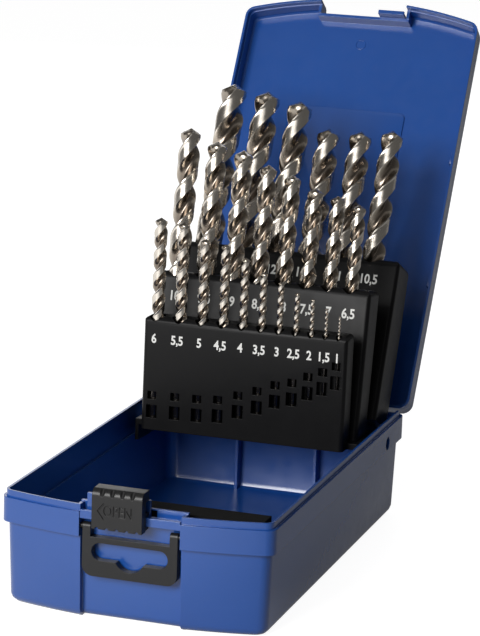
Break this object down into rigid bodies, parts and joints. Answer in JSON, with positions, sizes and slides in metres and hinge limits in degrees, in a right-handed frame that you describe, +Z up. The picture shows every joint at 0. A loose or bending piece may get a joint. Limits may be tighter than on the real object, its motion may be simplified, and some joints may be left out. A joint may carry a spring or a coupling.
{
  "type": "drill bit case",
  "caption": "Folding plastic drill bit case, open: deep tray, hinged lid, fan of stepped socket blocks holding twist drills, sliding latch and fold-out hanging loop.",
  "frame": {"origin": "centre of the tray's flat underside", "axes": "+X to the right seen from the latch, +Y to the hinge side, +Z up; the case stands open on its underside"},
  "size_m": [0.117, 0.3236, 0.219],
  "materials": {
    "blue_case": "glossy moulded, royal blue",
    "black_block": "satin moulded, near black",
    "black_latch": "satin moulded, dark grey",
    "drill_steel": "ground and polished, bright",
    "pin_steel": "drawn wire",
    "pivot_black": "moulded, black",
    "foam": "soft open foam, black"
  },
  "bodies": {
    "base": {"base_tray": "blue_case", "foam_strip": "foam", "hinge_pin_left": "pin_steel", "hinge_pin_right": "pin_steel", "pivot_pin_left": "pivot_black", "pivot_pin_right": "pivot_black"},
    "lid": {"lid_shell": "blue_case"},
    "front_block": {"front_block": "black_block", "front_arm_left": "black_block", "front_arm_right": "black_block"},
    "middle_block": {"middle_block": "black_block", "middle_arm_left": "black_block", "middle_arm_right": "black_block"},
    "rear_block": {"rear_block": "black_block"},
    "latch_slider": {"latch_slider": "black_latch"},
    "hanger": {"hanger": "black_latch"},
    "drill_6_0": {"drill_6_0": "drill_steel"},
    "drill_5_5": {"drill_5_5": "drill_steel"},
    "drill_5_0": {"drill_5_0": "drill_steel"},
    "drill_4_5": {"drill_4_5": "drill_steel"},
    "drill_4_0": {"drill_4_0": "drill_steel"},
    "drill_3_5": {"drill_3_5": "drill_steel"},
    "drill_3_0": {"drill_3_0": "drill_steel"},
    "drill_2_5": {"drill_2_5": "drill_steel"},
    "drill_2_0": {"drill_2_0": "drill_steel"},
    "drill_1_5": {"drill_1_5": "drill_steel"},
    "drill_1_0": {"drill_1_0": "drill_steel"},
    "drill_10_0": {"drill_10_0": "drill_steel"},
    "drill_9_5": {"drill_9_5": "drill_steel"},
    "drill_9_0": {"drill_9_0": "drill_steel"},
    "drill_8_5": {"drill_8_5": "drill_steel"},
    "drill_8_0": {"drill_8_0": "drill_steel"},
    "drill_7_5": {"drill_7_5": "drill_steel"},
    "drill_7_0": {"drill_7_0": "drill_steel"},
    "drill_6_5": {"drill_6_5": "drill_steel"},
    "drill_13_0": {"drill_13_0": "drill_steel"},
    "drill_12_5": {"drill_12_5": "drill_steel"},
    "drill_12_0": {"drill_12_0": "drill_steel"},
    "drill_11_5": {"drill_11_5": "drill_steel"},
    "drill_11_0": {"drill_11_0": "drill_steel"},
    "drill_10_5": {"drill_10_5": "drill_steel"}
  },
  "joints": [
    {"name": "lid_hinge", "type": "hinge", "parent": "base", "child": "lid", "pos_m": [0, 0.0996, 0.0447], "axis": [-1, 0, 0], "range_deg": [-121.2, 0]},
    {"name": "front_fold", "type": "hinge", "parent": "base", "child": "front_block", "pos_m": [0, 0.0688, 0.0385], "axis": [-1, 0, 0], "range_deg": [-92.01, 0.01]},
    {"name": "middle_fold", "type": "hinge", "parent": "base", "child": "middle_block", "pos_m": [0, 0.0688, 0.0385], "axis": [-1, 0, 0], "range_deg": [-101.41, 0.01]},
    {"name": "rear_fold", "type": "hinge", "parent": "base", "child": "rear_block", "pos_m": [0, 0.0688, 0.0385], "axis": [-1, 0, 0], "range_deg": [-114.81, 0.01]},
    {"name": "latch_slide", "type": "slide", "parent": "base", "child": "latch_slider", "axis": [1, 0, 0], "range_m": [0, 0.009]},
    {"name": "hanger_hinge", "type": "hinge", "parent": "base", "child": "hanger", "pos_m": [0, -0.1019, 0.0392], "axis": [-1, 0, 0], "range_deg": [0, 80]},
    {"name": "drill_6_0_slide", "type": "slide", "parent": "front_block", "child": "drill_6_0", "axis": [0, 0.0349, 0.9994], "range_m": [0, 0.05]},
    {"name": "drill_5_5_slide", "type": "slide", "parent": "front_block", "child": "drill_5_5", "axis": [0, 0.0349, 0.9994], "range_m": [0, 0.051]},
    {"name": "drill_5_0_slide", "type": "slide", "parent": "front_block", "child": "drill_5_0", "axis": [0, 0.0349, 0.9994], "range_m": [0, 0.0505]},
    {"name": "drill_4_5_slide", "type": "slide", "parent": "front_block", "child": "drill_4_5", "axis": [0, 0.0349, 0.9994], "range_m": [0, 0.046]},
    {"name": "drill_4_0_slide", "type": "slide", "parent": "front_block", "child": "drill_4_0", "axis": [0, 0.0349, 0.9994], "range_m": [0, 0.046]},
    {"name": "drill_3_5_slide", "type": "slide", "parent": "front_block", "child": "drill_3_5", "axis": [0, 0.0349, 0.9994], "range_m": [0, 0.0465]},
    {"name": "drill_3_0_slide", "type": "slide", "parent": "front_block", "child": "drill_3_0", "axis": [0, 0.0349, 0.9994], "range_m": [0, 0.041]},
    {"name": "drill_2_5_slide", "type": "slide", "parent": "front_block", "child": "drill_2_5", "axis": [0, 0.0349, 0.9994], "range_m": [0, 0.041]},
    {"name": "drill_2_0_slide", "type": "slide", "parent": "front_block", "child": "drill_2_0", "axis": [0, 0.0349, 0.9994], "range_m": [0, 0.035]},
    {"name": "drill_1_5_slide", "type": "slide", "parent": "front_block", "child": "drill_1_5", "axis": [0, 0.0349, 0.9994], "range_m": [0, 0.0295]},
    {"name": "drill_1_0_slide", "type": "slide", "parent": "front_block", "child": "drill_1_0", "axis": [0, 0.0349, 0.9994], "range_m": [0, 0.0265]},
    {"name": "drill_10_0_slide", "type": "slide", "parent": "middle_block", "child": "drill_10_0", "axis": [0, 0.1977, 0.9803], "range_m": [0, 0.069]},
    {"name": "drill_9_5_slide", "type": "slide", "parent": "middle_block", "child": "drill_9_5", "axis": [0, 0.1977, 0.9803], "range_m": [0, 0.066]},
    {"name": "drill_9_0_slide", "type": "slide", "parent": "middle_block", "child": "drill_9_0", "axis": [0, 0.1977, 0.9803], "range_m": [0, 0.069]},
    {"name": "drill_8_5_slide", "type": "slide", "parent": "middle_block", "child": "drill_8_5", "axis": [0, 0.1977, 0.9803], "range_m": [0, 0.0665]},
    {"name": "drill_8_0_slide", "type": "slide", "parent": "middle_block", "child": "drill_8_0", "axis": [0, 0.1977, 0.9803], "range_m": [0, 0.07]},
    {"name": "drill_7_5_slide", "type": "slide", "parent": "middle_block", "child": "drill_7_5", "axis": [0, 0.1977, 0.9803], "range_m": [0, 0.067]},
    {"name": "drill_7_0_slide", "type": "slide", "parent": "middle_block", "child": "drill_7_0", "axis": [0, 0.1977, 0.9803], "range_m": [0, 0.0695]},
    {"name": "drill_6_5_slide", "type": "slide", "parent": "middle_block", "child": "drill_6_5", "axis": [0, 0.1977, 0.9803], "range_m": [0, 0.0645]},
    {"name": "drill_13_0_slide", "type": "slide", "parent": "rear_block", "child": "drill_13_0", "axis": [0, 0.4195, 0.9078], "range_m": [0, 0.0735]},
    {"name": "drill_12_5_slide", "type": "slide", "parent": "rear_block", "child": "drill_12_5", "axis": [0, 0.4195, 0.9078], "range_m": [0, 0.076]},
    {"name": "drill_12_0_slide", "type": "slide", "parent": "rear_block", "child": "drill_12_0", "axis": [0, 0.4195, 0.9078], "range_m": [0, 0.0795]},
    {"name": "drill_11_5_slide", "type": "slide", "parent": "rear_block", "child": "drill_11_5", "axis": [0, 0.4195, 0.9078], "range_m": [0, 0.0825]},
    {"name": "drill_11_0_slide", "type": "slide", "parent": "rear_block", "child": "drill_11_0", "axis": [0, 0.4195, 0.9078], "range_m": [0, 0.0825]},
    {"name": "drill_10_5_slide", "type": "slide", "parent": "rear_block", "child": "drill_10_5", "axis": [0, 0.4195, 0.9078], "range_m": [0, 0.072]}
  ],
  "couplings": [
    {"joint": "front_fold", "follows": "lid_hinge", "ratio": 0.75908},
    {"joint": "middle_fold", "follows": "lid_hinge", "ratio": 0.83663},
    {"joint": "rear_fold", "follows": "lid_hinge", "ratio": 0.9472}
  ]
}
